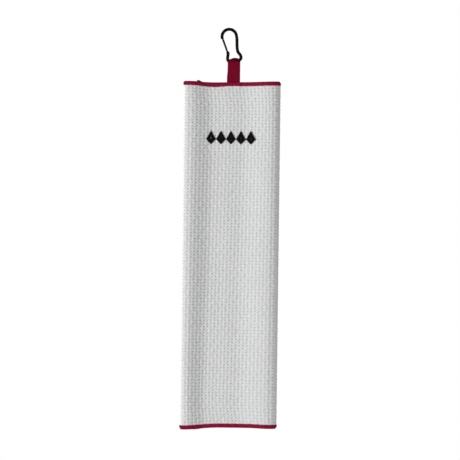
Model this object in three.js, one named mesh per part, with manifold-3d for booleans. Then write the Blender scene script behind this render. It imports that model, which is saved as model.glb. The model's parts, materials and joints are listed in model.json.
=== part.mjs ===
// A waffle-weave golf towel. The cloth is folded in three lengthwise, bound with tape along its
// cut edges, and hangs by a loop of webbing from a small snap hook.
// Millimetres, +Z up, +X to the right, front towards -Y. The origin is the point inside the top
// of the hook that rests on whatever the hook is clipped to.
import * as THREE from "three";
import { mergeVertices } from "three/addons/utils/BufferGeometryUtils.js";
import Module from "manifold-3d";

const wasm = await Module();
wasm.setup();

// ---- Driving dimensions ----

const CLEARANCE = 0.3; // between pieces that touch
const OVERLAP = 1; // how far a cut or a joined solid runs past the face that it meets

// Snap hook, in its own plane: U across to the right, V up, zero at the centre of the top arc
const ROD_DIAMETER = 4.2;
const TOP_ARC_RADIUS = 10.6; // to the middle of the rod
const WAIST_HALF_WIDTH = 7.1;
const WAIST_DROP = 23.6;
const LOBE_HALF_WIDTH = 9.95;
const BAR_DROP = 37.5;
const LOBE_CORNER_RADIUS = 5;
const HOOK_TILT = THREE.MathUtils.degToRad(14); // the top leans to the left
const NOSE_ANGLE = Math.PI + 0.07; // where the top arc ends, over the gate
const HOOK_STEPS = 64; // along the rod
// How far below the top arc's centre each end of a curve points before it turns to the next one
const HEEL_EASE_DROP = 26;
const LOBE_EASE_DROP = 28.5;
const UNDER_WAIST_EASE_DROP = 27;
const OVER_WAIST_EASE_DROP = 15;
const TOP_ARC_EASE_DROP = 9;

// Gate of the snap hook
const PIVOT = new THREE.Vector2(-7.6, -23.3);
const GATE_TIP_ACROSS = -10.1;
const GATE_LENGTH = 22.1;
const GATE_DIAMETER = 2.4;
const FORK_HALF_WIDTH = 1.75;
const FORK_LENGTH = 6.2;
const FORK_SLOT_LENGTH = 5.2;
const FORK_TAPER = 1.5; // length over which the fork narrows to the bar
const BOSS_RADIUS = 2.3;
const TONGUE_THICKNESS = 1.8;
const TONGUE_END = 1.6; // past the pivot
const SHOULDER_GAP = 0.4; // between the boss and the full round of the rod
const RIVET_RADIUS = 0.7;
const RIVET_LENGTH = 4.8;
const RIVET_PLAY = 0.1; // all round
const SPRING_LEAF = 0.3; // thickness
const SPRING_GAP = 1.5; // between the tongue and the leaf
const SPRING_INSET = 0.55; // from the sides of the fork

// Webbing loop
const WEB_WIDTH = 18.5;
const WEB_THICKNESS = 1.2;
const WEB_INNER_HALF = 2.5; // half the space between its two layers at the bar
const WEB_ARCH_HALF_WIDTH = 5; // narrowed where it passes over the middle of the hook's bar
const WEB_ARCH_RISE = 1.5; // centre of the arch above the bar
const WEB_FLAT_HALF = 1.3; // half thickness where the layers are sewn together
const WEB_NECK_DROP = 15; // where the layers part, below the bar
const WEB_HOLE_DROP = 12.5;
const WEB_SIDE_DROP = 2.5; // where its sides start to lean in, below the bar
const WEB_OUTER_EASE = [7, 10]; // drops that the outside curve points to at its two ends
const WEB_INNER_EASE = [6, 8];
const WEB_HOLE_EASE_HALF = 0.6; // how blunt the bottom of the hole is
const WEB_NARROWED_HEIGHT = 8; // above the bar
const WEB_TAIL_LENGTH = 6; // inside the binding of the towel
const WEB_TAIL_HALF = 1.1;
const WEB_CENTRE_X = 7.4; // it has slid down the slope of the bar

// Towel
const TOWEL_TOP = -75;
const TOWEL_LENGTH = 508;
const TOWEL_CENTRE_X = 5.3;
const FOLDED_WIDTH = 142; // over the cloth at both folds
const CLOTH_THICKNESS = 2.2;
const LAYER_PITCH = 4.1; // between the middles of two layers
const INNER_FLAP_WIDTH = 131.2;
const OUTER_FLAP_WIDTH = 115.8;
const SEAM_GAP = 1.6; // between the bend line of the webbing and the pieces on each side of it

// Binding tape, folded over the edges
const TAPE_THICKNESS = 0.5;
const TAPE_WIDTH = 6; // on each face of the cloth

// Embroidered band of diamonds
const EMBLEM_WIDTH = 73;
const EMBLEM_HEIGHT = 19.5;
const EMBLEM_COUNT = 5;
const EMBLEM_CENTRE = new THREE.Vector2(4.2, -156.8);
const EMBLEM_THICKNESS = 0.6;
const EMBLEM_BRIDGE_HALF = 1.2; // where two diamonds run into each other

// ---- Sizes that follow from them ----

const ROD_RADIUS = ROD_DIAMETER / 2;
const ARC_CENTRE_Z = ROD_RADIUS - TOP_ARC_RADIUS;
const CLOTH_HALF = CLOTH_THICKNESS / 2;
const TAPE_OUTER_HALF = CLOTH_HALF + CLEARANCE + TAPE_THICKNESS;
const TAPE_INNER_HALF = CLOTH_HALF + CLEARANCE;
const TAPE_INSET = TAPE_THICKNESS + CLEARANCE; // from the outside of the tape to the cloth edge
const TOWEL_BOTTOM = TOWEL_TOP - TOWEL_LENGTH;
const SEAM_Z = TOWEL_TOP + SEAM_GAP;
const LEFT_FOLD_RADIUS = LAYER_PITCH / 2; // to the middle of the cloth
const RIGHT_FOLD_RADIUS = LAYER_PITCH;
const LEFT_FOLD_X = TOWEL_CENTRE_X - FOLDED_WIDTH / 2 + LEFT_FOLD_RADIUS + CLOTH_HALF;
const RIGHT_FOLD_X = TOWEL_CENTRE_X + FOLDED_WIDTH / 2 - RIGHT_FOLD_RADIUS - CLOTH_HALF;
const INNER_LAYER_Y = LAYER_PITCH;
const OUTER_LAYER_Y = 2 * LAYER_PITCH;

// ---- Materials ----

const finish = (color, roughness, metalness) =>
  new THREE.MeshStandardMaterial({ color, roughness, metalness });
const clothFinish = () => finish("#e6e7ea", 0.95, 0);
const tapeFinish = () => finish("#82152f", 0.85, 0);
const webFinish = () => finish("#720b28", 0.8, 0);
const threadFinish = () => finish("#17171a", 0.6, 0);
const anodisedFinish = () => finish("#141416", 0.35, 0.8);
const steelFinish = () => finish("#8b8d92", 0.3, 1);

// ---- Solids ----

// A closed geometry as a manifold solid that can be joined and cut.
function solid(geometry) {
  const bare = geometry.clone();
  bare.deleteAttribute("normal");
  bare.deleteAttribute("uv");
  const merged = mergeVertices(bare, 1e-4);
  return new wasm.Manifold(
    new wasm.Mesh({
      numProp: 3,
      vertProperties: new Float32Array(merged.attributes.position.array),
      triVerts: new Uint32Array(merged.index.array),
    }),
  );
}

function geometryOf(manifold) {
  const { vertProperties, triVerts } = manifold.getMesh();
  return new THREE.BufferGeometry()
    .setAttribute("position", new THREE.BufferAttribute(vertProperties, 3))
    .setIndex(new THREE.BufferAttribute(triVerts, 1));
}

const ordered = (pair) => pair.sort((a, b) => a - b);

// A box between two corners given as [low, high] along each axis.
function block([x0, x1], [y0, y1], [z0, z1]) {
  return new THREE.BoxGeometry(x1 - x0, y1 - y0, z1 - z0).translate(
    (x0 + x1) / 2,
    (y0 + y1) / 2,
    (z0 + z1) / 2,
  );
}

// A rod of round section along a curve.
function rod(curve, radius, steps, sides) {
  const section = new THREE.Shape().absarc(0, 0, radius, 0, 2 * Math.PI, false);
  return new THREE.ExtrudeGeometry(section, {
    steps,
    extrudePath: curve,
    curveSegments: sides / 2,
  });
}

// A cylinder whose axis runs front to back.
function crossPin(radius, length, sides = 28) {
  return new THREE.CylinderGeometry(radius, radius, length, sides);
}

// Half a tube standing upright: side is -1 for a fold on the left and 1 for one on the right.
function halfTube(centreX, centreY, innerRadius, outerRadius, side, z0, z1) {
  const start = side > 0 ? -Math.PI / 2 : Math.PI / 2;
  const end = start + Math.PI;
  const ring = new THREE.Shape();
  ring.absarc(centreX, centreY, outerRadius, start, end, false);
  ring.absarc(centreX, centreY, innerRadius, end, start, true);
  return new THREE.ExtrudeGeometry(ring, {
    depth: z1 - z0,
    bevelEnabled: false,
    curveSegments: 16,
  }).translate(0, 0, z0);
}

// ---- Snap hook ----

// The middle line of the rod, from its flattened heel round the bottom bar and up to the nose.
function hookLine() {
  const outline = new THREE.Path();
  const cornerX = LOBE_HALF_WIDTH - LOBE_CORNER_RADIUS;
  const cornerZ = LOBE_CORNER_RADIUS - BAR_DROP;
  outline.moveTo(PIVOT.x, PIVOT.y + TONGUE_END);
  outline.bezierCurveTo(
    -WAIST_HALF_WIDTH,
    -HEEL_EASE_DROP,
    -LOBE_HALF_WIDTH,
    -LOBE_EASE_DROP,
    -LOBE_HALF_WIDTH,
    cornerZ,
  );
  outline.absarc(-cornerX, cornerZ, LOBE_CORNER_RADIUS, Math.PI, 1.5 * Math.PI, false);
  outline.absarc(cornerX, cornerZ, LOBE_CORNER_RADIUS, 1.5 * Math.PI, 2 * Math.PI, false);
  outline.bezierCurveTo(
    LOBE_HALF_WIDTH,
    -LOBE_EASE_DROP,
    WAIST_HALF_WIDTH,
    -UNDER_WAIST_EASE_DROP,
    WAIST_HALF_WIDTH,
    -WAIST_DROP,
  );
  outline.bezierCurveTo(
    WAIST_HALF_WIDTH,
    -OVER_WAIST_EASE_DROP,
    TOP_ARC_RADIUS,
    -TOP_ARC_EASE_DROP,
    TOP_ARC_RADIUS,
    0,
  );
  outline.absarc(0, 0, TOP_ARC_RADIUS, 0, NOSE_ANGLE, false);
  const points = outline.getSpacedPoints(HOOK_STEPS).map((p) => new THREE.Vector3(p.x, 0, p.y));
  return new THREE.CatmullRomCurve3(points);
}

// The rod, flattened at the heel into a tongue with a hole for the rivet.
function hookBody() {
  const tongueHalf = TONGUE_THICKNESS / 2;
  const shoulder = PIVOT.y - BOSS_RADIUS - SHOULDER_GAP;
  const across = [PIVOT.x - ROD_DIAMETER, PIVOT.x + ROD_DIAMETER];
  const up = [shoulder, PIVOT.y + ROD_DIAMETER];
  const front = solid(block(across, [-ROD_DIAMETER, -tongueHalf], up));
  const back = solid(block(across, [tongueHalf, ROD_DIAMETER], up));
  const hole = solid(
    crossPin(RIVET_RADIUS + RIVET_PLAY, 2 * ROD_DIAMETER).translate(PIVOT.x, 0, PIVOT.y),
  );
  const bar = solid(rod(hookLine(), ROD_RADIUS, HOOK_STEPS, 16));
  return geometryOf(bar.subtract(front).subtract(back).subtract(hole));
}

// The gate stands along +Z from its pivot at zero, with a fork that straddles the tongue.
function gate() {
  const radius = GATE_DIAMETER / 2;
  const roundTip = new THREE.Path();
  roundTip.moveTo(0, FORK_LENGTH - OVERLAP);
  roundTip.lineTo(radius, FORK_LENGTH - OVERLAP);
  roundTip.lineTo(radius, GATE_LENGTH - radius);
  roundTip.absarc(0, GATE_LENGTH - radius, radius, 0, Math.PI / 2, false);
  const bar = new THREE.LatheGeometry(roundTip.getPoints(6), 20).rotateX(Math.PI / 2);

  const cheek = new THREE.Shape();
  cheek.absarc(0, 0, BOSS_RADIUS, Math.PI, 0, false);
  cheek.lineTo(FORK_HALF_WIDTH, FORK_LENGTH - FORK_TAPER);
  cheek.lineTo(radius, FORK_LENGTH);
  cheek.lineTo(-radius, FORK_LENGTH);
  cheek.lineTo(-FORK_HALF_WIDTH, FORK_LENGTH - FORK_TAPER);
  const fork = new THREE.ExtrudeGeometry(cheek, {
    depth: ROD_DIAMETER,
    bevelEnabled: false,
    curveSegments: 20,
  })
    .translate(0, 0, -ROD_RADIUS)
    .rotateX(Math.PI / 2);

  const slotHalf = TONGUE_THICKNESS / 2 + CLEARANCE;
  const slot = block(
    [-FORK_LENGTH, FORK_LENGTH],
    [-slotHalf, slotHalf],
    [-FORK_LENGTH, FORK_SLOT_LENGTH],
  );
  const hole = crossPin(RIVET_RADIUS + RIVET_PLAY, 2 * ROD_DIAMETER);
  return geometryOf(
    solid(bar).add(solid(fork)).subtract(solid(slot)).subtract(solid(hole)),
  );
}

// A leaf bent over on itself, between the tongue and the end of the fork's slot.
function gateSpring() {
  const low = TONGUE_END + SPRING_GAP;
  const high = FORK_SLOT_LENGTH - CLEARANCE;
  const reach = FORK_HALF_WIDTH - SPRING_INSET;
  const leaf = new THREE.Shape();
  leaf.moveTo(-reach, low);
  leaf.lineTo(reach, (low + high) / 2 - SPRING_LEAF / 2);
  leaf.lineTo(reach, (low + high) / 2 + SPRING_LEAF / 2);
  leaf.lineTo(-reach, high);
  leaf.lineTo(-reach, high - SPRING_LEAF);
  leaf.lineTo(reach - 2 * SPRING_LEAF, (low + high) / 2);
  leaf.lineTo(-reach, low + SPRING_LEAF);
  return new THREE.ExtrudeGeometry(leaf, { depth: TONGUE_THICKNESS, bevelEnabled: false })
    .translate(0, 0, -TONGUE_THICKNESS / 2)
    .rotateX(Math.PI / 2);
}

// ---- Webbing ----

// The side view of the loop, turned so that it runs across the towel. The bar is at zero, and
// its middle is archX to the right of the middle of the webbing.
function webLoop(bottom, archX) {
  const outerHalf = WEB_INNER_HALF + WEB_THICKNESS;
  const [outerHigh, outerLow] = WEB_OUTER_EASE;
  const [innerHigh, innerLow] = WEB_INNER_EASE;
  const side = new THREE.Shape();
  side.moveTo(-WEB_FLAT_HALF, bottom);
  side.lineTo(WEB_FLAT_HALF, bottom);
  side.lineTo(WEB_FLAT_HALF, -WEB_NECK_DROP);
  side.bezierCurveTo(WEB_FLAT_HALF, -outerLow, outerHalf, -outerHigh, outerHalf, -WEB_SIDE_DROP);
  side.absarc(0, WEB_ARCH_RISE, outerHalf, 0, Math.PI, false);
  side.lineTo(-outerHalf, -WEB_SIDE_DROP);
  side.bezierCurveTo(
    -outerHalf,
    -outerHigh,
    -WEB_FLAT_HALF,
    -outerLow,
    -WEB_FLAT_HALF,
    -WEB_NECK_DROP,
  );
  const hole = new THREE.Path();
  hole.moveTo(0, -WEB_HOLE_DROP);
  hole.bezierCurveTo(
    WEB_HOLE_EASE_HALF,
    -innerLow,
    WEB_INNER_HALF,
    -innerHigh,
    WEB_INNER_HALF,
    -WEB_SIDE_DROP,
  );
  hole.absarc(0, WEB_ARCH_RISE, WEB_INNER_HALF, 0, Math.PI, false);
  hole.lineTo(-WEB_INNER_HALF, -WEB_SIDE_DROP);
  hole.bezierCurveTo(
    -WEB_INNER_HALF,
    -innerHigh,
    -WEB_HOLE_EASE_HALF,
    -innerLow,
    0,
    -WEB_HOLE_DROP,
  );
  side.holes.push(hole);
  const sideways = new THREE.Matrix4().makeBasis(
    new THREE.Vector3(0, 1, 0),
    new THREE.Vector3(0, 0, 1),
    new THREE.Vector3(1, 0, 0),
  );
  const band = new THREE.ExtrudeGeometry(side, {
    depth: WEB_WIDTH,
    bevelEnabled: false,
    curveSegments: 10,
  })
    .translate(0, 0, -WEB_WIDTH / 2)
    .applyMatrix4(sideways);
  let loop = solid(band);
  for (const hand of [-1, 1]) {
    const across = [WEB_ARCH_HALF_WIDTH, WEB_WIDTH].map((x) => archX + x * hand);
    const beside = block(
      ordered(across),
      [-WEB_INNER_HALF, WEB_INNER_HALF],
      [0, WEB_NARROWED_HEIGHT],
    );
    loop = loop.subtract(solid(beside));
  }
  return geometryOf(loop);
}

// ---- Cloth and tape ----

// A flat layer of cloth. Its edges stop inside the tape, and at a fold where the bend begins.
const clothLayer = (across, middleY) =>
  block(
    across,
    [middleY - CLOTH_HALF, middleY + CLOTH_HALF],
    [TOWEL_BOTTOM + TAPE_INSET, TOWEL_TOP - TAPE_INSET],
  );

// The space that the cloth takes up inside a top or bottom tape.
const hemSpace = (end) =>
  end === "top"
    ? [TOWEL_TOP - TAPE_WIDTH - OVERLAP, TOWEL_TOP - TAPE_THICKNESS]
    : [TOWEL_BOTTOM + TAPE_THICKNESS, TOWEL_BOTTOM + TAPE_WIDTH + OVERLAP];

const hemHeight = (end) =>
  end === "top" ? [TOWEL_TOP - TAPE_WIDTH, TOWEL_TOP] : [TOWEL_BOTTOM, TOWEL_BOTTOM + TAPE_WIDTH];

// Tape folded over the top or bottom edge of a flat layer.
function hemTape([x0, x1], middleY, end) {
  const outside = block(
    [x0, x1],
    [middleY - TAPE_OUTER_HALF, middleY + TAPE_OUTER_HALF],
    hemHeight(end),
  );
  const inside = block(
    [x0 - OVERLAP, x1 + OVERLAP],
    [middleY - TAPE_INNER_HALF, middleY + TAPE_INNER_HALF],
    hemSpace(end),
  );
  return solid(outside).subtract(solid(inside));
}

// Tape folded over the free side of a flap, between its top and bottom tapes.
function sideTape(edgeX, inward, middleY) {
  const low = TOWEL_BOTTOM + TAPE_WIDTH + CLEARANCE;
  const high = TOWEL_TOP - TAPE_WIDTH - CLEARANCE;
  const span = (a, b) => ordered([edgeX + a * inward, edgeX + b * inward]);
  const outside = block(
    span(0, TAPE_WIDTH),
    [middleY - TAPE_OUTER_HALF, middleY + TAPE_OUTER_HALF],
    [low, high],
  );
  const inside = block(
    span(TAPE_THICKNESS, TAPE_WIDTH + OVERLAP),
    [middleY - TAPE_INNER_HALF, middleY + TAPE_INNER_HALF],
    [low - OVERLAP, high + OVERLAP],
  );
  return solid(outside).subtract(solid(inside));
}

// Tape carried round a fold on the top or bottom edge.
function foldTape(centreX, centreY, radius, side, end) {
  const outside = halfTube(
    centreX,
    centreY,
    radius - TAPE_OUTER_HALF,
    radius + TAPE_OUTER_HALF,
    side,
    ...hemHeight(end),
  );
  const inside = halfTube(
    centreX - side * 0.01,
    centreY,
    radius - TAPE_INNER_HALF,
    radius + TAPE_INNER_HALF,
    side,
    ...hemSpace(end),
  );
  const mouth = block(
    [centreX - OVERLAP, centreX + OVERLAP],
    [centreY - radius - TAPE_INNER_HALF, centreY - radius + TAPE_INNER_HALF],
    hemSpace(end),
  );
  const farMouth = mouth.clone().translate(0, 2 * radius, 0);
  return solid(outside).subtract(solid(inside)).subtract(solid(mouth)).subtract(solid(farMouth));
}

// A row of diamonds that run into each other at their points.
function diamondBand() {
  const outline = new THREE.Shape();
  const pitch = EMBLEM_WIDTH / EMBLEM_COUNT;
  const left = -EMBLEM_WIDTH / 2;
  outline.moveTo(left, 0);
  for (let i = 0; i < EMBLEM_COUNT; i++) {
    outline.lineTo(left + (i + 0.5) * pitch, -EMBLEM_HEIGHT / 2);
    const last = i === EMBLEM_COUNT - 1;
    outline.lineTo(left + (i + 1) * pitch, last ? 0 : -EMBLEM_BRIDGE_HALF);
  }
  for (let i = EMBLEM_COUNT - 1; i >= 0; i--) {
    outline.lineTo(left + (i + 0.5) * pitch, EMBLEM_HEIGHT / 2);
    if (i > 0) outline.lineTo(left + i * pitch, EMBLEM_BRIDGE_HALF);
  }
  return new THREE.ExtrudeGeometry(outline, { depth: EMBLEM_THICKNESS, bevelEnabled: false })
    .rotateX(Math.PI / 2)
    .translate(EMBLEM_CENTRE.x, -CLOTH_HALF - CLEARANCE, EMBLEM_CENTRE.y);
}

// ---- Assembly ----

const group = new THREE.Group();

function piece(name, geometry, material, parent = group) {
  const mesh = new THREE.Mesh(geometry, material);
  mesh.name = name;
  parent.add(mesh);
  return mesh;
}

const hook = new THREE.Group();
hook.position.z = ARC_CENTRE_Z;
hook.rotation.y = -HOOK_TILT;
group.add(hook);
piece("carabiner_body", hookBody(), anodisedFinish(), hook);

const swing = new THREE.Group();
swing.position.set(PIVOT.x, 0, PIVOT.y);
swing.rotation.y = Math.asin((GATE_TIP_ACROSS - PIVOT.x) / GATE_LENGTH);
hook.add(swing);
piece("carabiner_gate", gate(), anodisedFinish(), swing);
piece("gate_spring", gateSpring(), steelFinish(), swing);
piece("gate_rivet", crossPin(RIVET_RADIUS, RIVET_LENGTH), anodisedFinish(), swing);

const barX = BAR_DROP * Math.sin(HOOK_TILT);
const barZ = ARC_CENTRE_Z - BAR_DROP * Math.cos(HOOK_TILT);
const web = webLoop(SEAM_Z + SEAM_GAP - barZ, barX - WEB_CENTRE_X);
const loop = piece("strap_loop", web, webFinish());
loop.position.set(WEB_CENTRE_X, 0, barZ);

const tailRoom = WEB_WIDTH / 2 + CLEARANCE;
const webAcross = [WEB_CENTRE_X - WEB_WIDTH / 2, WEB_CENTRE_X + WEB_WIDTH / 2];
const tailSlot = block(
  [WEB_CENTRE_X - tailRoom, WEB_CENTRE_X + tailRoom],
  [-TAPE_INNER_HALF, TAPE_INNER_HALF],
  [TOWEL_TOP - WEB_TAIL_LENGTH - CLEARANCE, TOWEL_TOP + OVERLAP],
);
piece(
  "strap_ends",
  block(webAcross, [-WEB_TAIL_HALF, WEB_TAIL_HALF], [TOWEL_TOP - WEB_TAIL_LENGTH, TOWEL_TOP]),
  webFinish(),
);

const halfGap = CLEARANCE / 2;
const frontAcross = [LEFT_FOLD_X + halfGap, RIGHT_FOLD_X - halfGap];
const frontCloth = solid(clothLayer(frontAcross, 0)).subtract(solid(tailSlot));
piece("front_panel", geometryOf(frontCloth), clothFinish());
piece("emblem_embroidery", diamondBand(), threadFinish());
const frontTop = hemTape(frontAcross, 0, "top").subtract(solid(tailSlot));
piece("front_top_binding", geometryOf(frontTop), tapeFinish());
piece("front_bottom_binding", geometryOf(hemTape(frontAcross, 0, "bottom")), tapeFinish());

// Each flap turns back behind the front panel from its fold: side is where the fold is.
const flaps = [
  {
    name: "inner_flap",
    fold: "left_fold",
    side: -1,
    foldX: LEFT_FOLD_X,
    radius: LEFT_FOLD_RADIUS,
    width: INNER_FLAP_WIDTH,
    middleY: INNER_LAYER_Y,
  },
  {
    name: "outer_flap",
    fold: "right_fold",
    side: 1,
    foldX: RIGHT_FOLD_X,
    radius: RIGHT_FOLD_RADIUS,
    width: OUTER_FLAP_WIDTH,
    middleY: OUTER_LAYER_Y,
  },
];
for (const { name, fold, side, foldX, radius, width, middleY } of flaps) {
  const freeX = foldX - side * width;
  const across = ordered([foldX - side * halfGap, freeX]);
  const clothAcross = ordered([foldX - side * halfGap, freeX + side * TAPE_INSET]);
  piece(name, clothLayer(clothAcross, middleY), clothFinish());
  piece(`${name}_edge_binding`, geometryOf(sideTape(freeX, side, middleY)), tapeFinish());

  const bendX = foldX + side * halfGap;
  const bend = halfTube(
    bendX,
    radius,
    radius - CLOTH_HALF,
    radius + CLOTH_HALF,
    side,
    TOWEL_BOTTOM + TAPE_INSET,
    TOWEL_TOP - TAPE_INSET,
  );
  piece(fold, bend, clothFinish());
  for (const end of ["top", "bottom"]) {
    piece(`${name}_${end}_binding`, geometryOf(hemTape(across, middleY, end)), tapeFinish());
    const tape = foldTape(bendX, radius, radius, side, end);
    piece(`${fold}_${end}_binding`, geometryOf(tape), tapeFinish());
  }
}

export default group;
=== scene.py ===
"""A waffle-weave golf towel, folded in three and hung from a snap hook, round its CAD frame.

Laid out as an add-on and run as a script. Metres, +Z up, the towel's front faces -Y.
"""

import json
import math

import bmesh
import bpy
import numpy as np
from mathutils import Matrix, Vector


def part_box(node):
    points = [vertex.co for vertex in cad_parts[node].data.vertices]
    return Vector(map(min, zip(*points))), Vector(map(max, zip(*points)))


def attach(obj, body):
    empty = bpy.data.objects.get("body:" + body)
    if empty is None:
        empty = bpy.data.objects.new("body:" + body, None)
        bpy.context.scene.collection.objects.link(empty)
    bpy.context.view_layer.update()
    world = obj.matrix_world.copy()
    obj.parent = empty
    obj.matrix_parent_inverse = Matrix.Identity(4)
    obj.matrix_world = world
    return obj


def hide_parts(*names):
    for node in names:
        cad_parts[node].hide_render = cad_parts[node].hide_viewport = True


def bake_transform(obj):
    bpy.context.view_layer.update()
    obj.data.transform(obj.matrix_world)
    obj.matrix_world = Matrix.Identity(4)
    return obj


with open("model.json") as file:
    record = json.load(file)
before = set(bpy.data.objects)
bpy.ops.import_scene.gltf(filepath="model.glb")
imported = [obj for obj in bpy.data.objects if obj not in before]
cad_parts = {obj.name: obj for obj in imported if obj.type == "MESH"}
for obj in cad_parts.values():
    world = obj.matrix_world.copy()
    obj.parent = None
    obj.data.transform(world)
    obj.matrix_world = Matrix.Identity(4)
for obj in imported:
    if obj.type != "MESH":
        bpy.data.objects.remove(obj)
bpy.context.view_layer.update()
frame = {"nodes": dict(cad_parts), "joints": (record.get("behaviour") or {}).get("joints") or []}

bl_info = {
    "name": "Golf towel",
    "version": (1, 0, 0),
    "blender": (4, 5, 0),
    "location": "View3D > Sidebar > Golf towel",
    "description": "Makes a folded golf towel with its bindings, webbing loop and snap hook",
    "category": "Add Mesh",
}

MM = 0.001
PER_METRE = 1000.0  # millimetres, for patterns

# ---- What the frame gives ----


def middle(node):
    low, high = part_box(node)
    return (low + high) / 2


def joint(name):
    return next(j for j in frame["joints"] if j["name"] == name)


FRONT_LOW, FRONT_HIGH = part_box("front_panel")
TAPE_LOW, TAPE_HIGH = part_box("front_top_binding")
EMBLEM_LOW, EMBLEM_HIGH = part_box("emblem_embroidery")
LOOP_LOW, LOOP_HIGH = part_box("strap_loop")
TAIL_LOW, TAIL_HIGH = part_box("strap_ends")
BAR_MIDDLE = Vector(joint("strap_tilt")["pos_m"])
SEAM_Z = joint("towel_swing")["pos_m"][2]
PIECE_GAP = 0.3 * MM  # between CAD nodes that touch
LEFT_X = FRONT_LOW.x - PIECE_GAP / 2
RIGHT_X = FRONT_HIGH.x + PIECE_GAP / 2
TOP_Z = TAPE_HIGH.z
BOTTOM_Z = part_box("front_bottom_binding")[0].z
EDGE_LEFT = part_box("left_fold")[0].x
EDGE_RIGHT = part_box("right_fold")[1].x


# ---- Properties ----


def length_property(name, description, default):
    return bpy.props.FloatProperty(
        name=name, description=description, default=default, unit="LENGTH"
    )


class GolfTowelSizes(bpy.types.PropertyGroup):
    """Sizes that a user would change"""

    cells_across: bpy.props.IntProperty(
        name="Cells across", description="Waffle cells between the two folds", default=25
    )
    cells_up: bpy.props.IntProperty(
        name="Cells up", description="Waffle cells from the bottom to the top", default=110
    )
    pit_depth: length_property("Pit depth", "Depth of a cell on each face", 1.05 * MM)
    core: length_property("Core", "Half thickness of the cloth at a pit", 0.35 * MM)
    tape_width: length_property(
        "Tape width", "Width of the binding on each face", TAPE_HIGH.z - TAPE_LOW.z
    )
    tape_thickness: length_property("Tape thickness", "Thickness of the binding", 0.5 * MM)
    tape_space: length_property(
        "Tape space", "Half of the space inside the folded binding", TAPE_HIGH.y - 0.5 * MM
    )
    stitch_pitch: length_property("Stitch pitch", "Distance between two stitches", 2.7 * MM)
    web_thickness: length_property("Webbing thickness", "Thickness of one layer", 1.2 * MM)
    rod: length_property("Rod", "Radius of the hook's rod", 2.3 * MM)
    gate_rod: length_property("Gate rod", "Radius of the gate", 1.5 * MM)
    diamonds: bpy.props.IntProperty(
        name="Diamonds", description="Diamonds in the embroidered band", default=5
    )


def colour_property(name, description, default):
    return bpy.props.FloatVectorProperty(
        name=name, description=description, default=default, subtype="COLOR", size=3, min=0, max=1
    )


class GolfTowelColours(bpy.types.PropertyGroup):
    """Colours that a user would change"""

    cloth: colour_property("Cloth", "Ridges of the waffle cloth", (0.80, 0.803, 0.805))
    # Painted shade: the darker colour that the waffle's pits are painted, standing in for the shade
    # in them
    cloth_pit: colour_property("Cloth pits", "Pits of the waffle cloth", (0.42, 0.425, 0.43))
    tape: colour_property("Tape", "Binding tape", (0.34, 0.0085, 0.050))
    webbing: colour_property("Webbing", "Webbing of the loop", (0.275, 0.0028, 0.031))
    thread: colour_property("Thread", "Embroidery thread", (0.005, 0.005, 0.006))
    hook: colour_property("Hook", "Anodised finish of the hook", (0.004, 0.0043, 0.0047))
    steel: colour_property("Steel", "Rivet and spring", (0.5, 0.5, 0.52))
    floor: colour_property("Floor", "Studio floor", (0.82, 0.82, 0.82))


def sizes():
    return bpy.context.scene.golf_towel_sizes


def colour(name):
    return tuple(getattr(bpy.context.scene.golf_towel_colours, name)) + (1.0,)


# ---- Materials ----


class Wire:
    """A socket in a material. Sums, products and the like of wires and numbers make Math nodes."""

    def __init__(self, paint, socket):
        self.paint = paint
        self.socket = socket

    def _math(self, operation, *terms):
        return self.paint.node("Math", {"operation": operation}, dict(enumerate(terms)))

    def __add__(self, other):
        return self._math("ADD", self, other)

    def __sub__(self, other):
        return self._math("SUBTRACT", self, other)

    def __rsub__(self, other):
        return self._math("SUBTRACT", other, self)

    def __mul__(self, other):
        return self._math("MULTIPLY", self, other)

    __radd__ = __add__
    __rmul__ = __mul__

    def sine(self):
        return self._math("SINE", self)

    def size(self):
        return self._math("ABSOLUTE", self)

    def fraction(self):
        return self._math("FRACT", self)

    def at_most(self, other):
        return self._math("MINIMUM", self, other)

    def at_least(self, other):
        return self._math("MAXIMUM", self, other)

    def clamped(self):
        return self.at_least(0.0).at_most(1.0)


class Paint:
    """A procedural material under construction."""

    def __init__(self, name):
        self.material = bpy.data.materials.new(f"{name}_finish")
        self.material.use_nodes = True
        self.tree = self.material.node_tree
        self.tree.nodes.clear()

    def node(self, kind, settings=None, sockets=None, output=0):
        """Adds a node: its settings first, then the values or links of its sockets."""
        made = self.tree.nodes.new("ShaderNode" + kind)
        for key, value in (settings or {}).items():
            setattr(made, key, value)
        for key, value in (sockets or {}).items():
            if isinstance(value, Wire):
                self.tree.links.new(value.socket, made.inputs[key])
            else:
                made.inputs[key].default_value = value
        return Wire(self, made.outputs[output]) if made.outputs else made

    def place(self, source, scale=PER_METRE):
        """The coordinates of a point, in millimetres unless scale says otherwise."""
        where = self.node("TexCoord", output=source)
        return self.node("VectorMath", {"operation": "SCALE"}, {0: where, "Scale": scale})

    def axes(self, place):
        return [self.node("SeparateXYZ", {}, {0: place}, n) for n in range(3)]

    def attribute(self, name):
        return self.node("Attribute", {"attribute_name": name}, {}, 2)

    def noise(self, place, scale, detail=3.0, roughness=0.5):
        wanted = {"Vector": place, "Scale": scale, "Detail": detail, "Roughness": roughness}
        return self.node("TexNoise", {}, wanted)

    def mix(self, factor, first, second):
        return self.node("Mix", {"data_type": "RGBA"}, {0: factor, 6: first, 7: second}, 2)

    def bump(self, height, depth, strength=1.0):
        wanted = {"Height": height, "Distance": depth, "Strength": strength}
        return self.node("Bump", {}, wanted)

    def finish(self, **sockets):
        """Feeds the shader: names are its sockets with _ for a space."""
        named = {key.replace("_", " "): value for key, value in sockets.items()}
        shader = self.node("BsdfPrincipled", {}, named)
        self.node("OutputMaterial", {}, {"Surface": shader})
        return self.material


def darker(rgba, share):
    return tuple(c * share for c in rgba[:3]) + (1.0,)


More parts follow.
